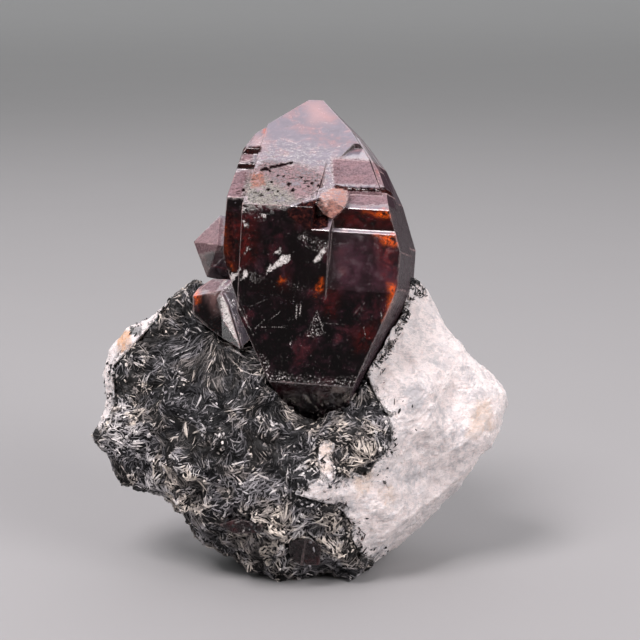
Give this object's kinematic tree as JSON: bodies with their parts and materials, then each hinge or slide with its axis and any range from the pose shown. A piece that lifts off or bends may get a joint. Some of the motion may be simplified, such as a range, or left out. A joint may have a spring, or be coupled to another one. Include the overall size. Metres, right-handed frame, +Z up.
{
  "type": "zircon crystal in matrix",
  "caption": "Large dark red-brown stepped zircon crystal standing in a rough matrix of black bladed mica and white granular feldspar, resting on a flat broken foot.",
  "frame": {"origin": "middle of the part's box in plan, on the flat foot", "axes": "+Z up as the specimen rests, and the longest extent; the stepped front of the crystal and the mica face -Y; +X to the viewer's right"},
  "size_m": [0.0734, 0.0466, 0.0812],
  "materials": {
    "zircon": "glassy, dark red-brown, stepped growth faces",
    "zircon_brown": "dull, dark purple-brown",
    "mica": "felted dark blades with silvery glints",
    "feldspar": "granular, white to bluish grey with beige patches"
  },
  "bodies": {
    "root": {"zircon_crystal": "zircon", "zircon_in_mica": "zircon_brown", "zircon_at_foot": "zircon_brown", "mica_matrix": "mica", "feldspar_matrix": "feldspar"}
  },
  "joints": []
}
